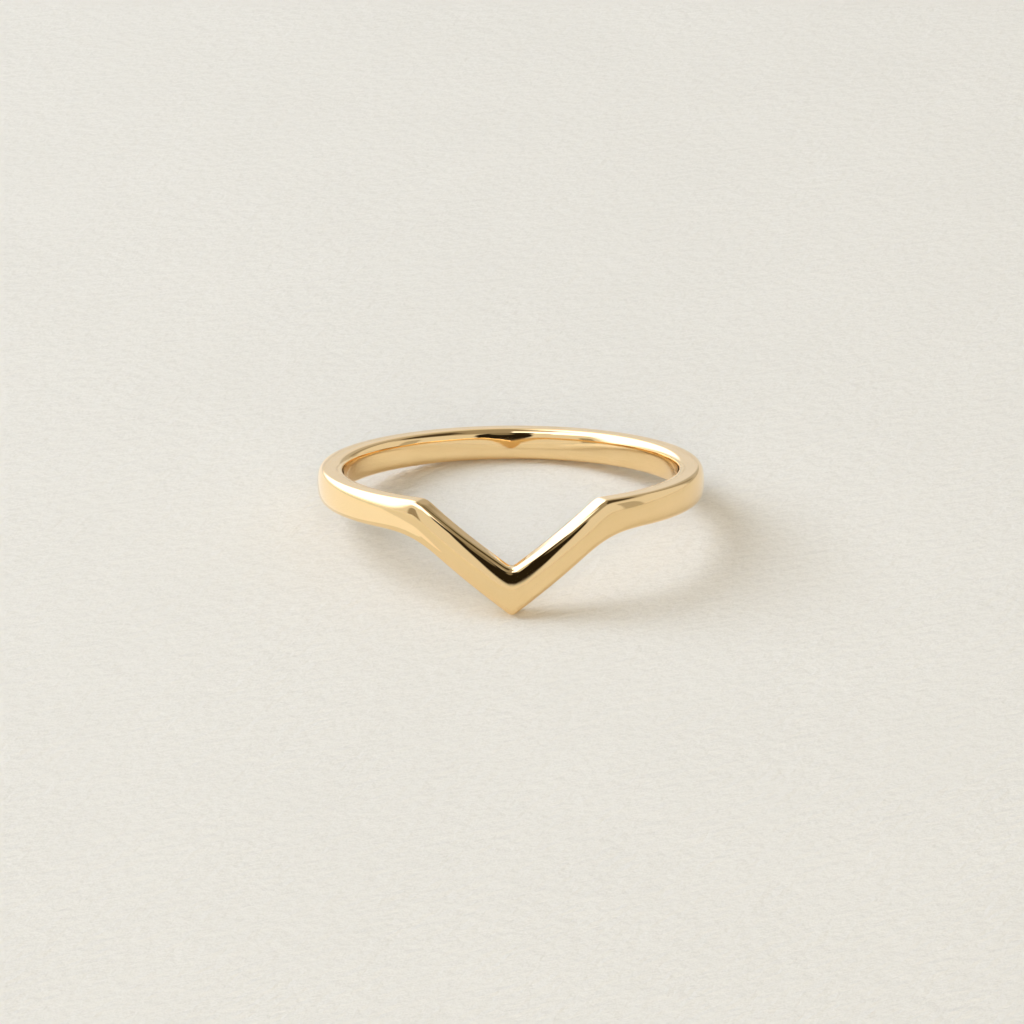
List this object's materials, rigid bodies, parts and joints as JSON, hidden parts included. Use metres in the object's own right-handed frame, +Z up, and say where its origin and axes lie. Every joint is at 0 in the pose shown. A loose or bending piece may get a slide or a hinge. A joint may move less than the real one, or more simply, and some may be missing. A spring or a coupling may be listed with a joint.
{
  "type": "chevron ring",
  "caption": "Plain polished gold finger ring whose slim crowned band drops into a V at the front, lying on its side.",
  "frame": {"origin": "centre of the bounding box on the surface that the ring lies on", "axes": "+Z up from that surface, the V at the front on -Y, X across the ring; the finger hole's axis leans back from +Z by the angle that the point of the V lifts the front"},
  "size_m": [0.02, 0.0206, 0.0054],
  "materials": {
    "gold": "polished"
  },
  "bodies": {
    "root": {"chevron_band": "gold"}
  },
  "joints": []
}
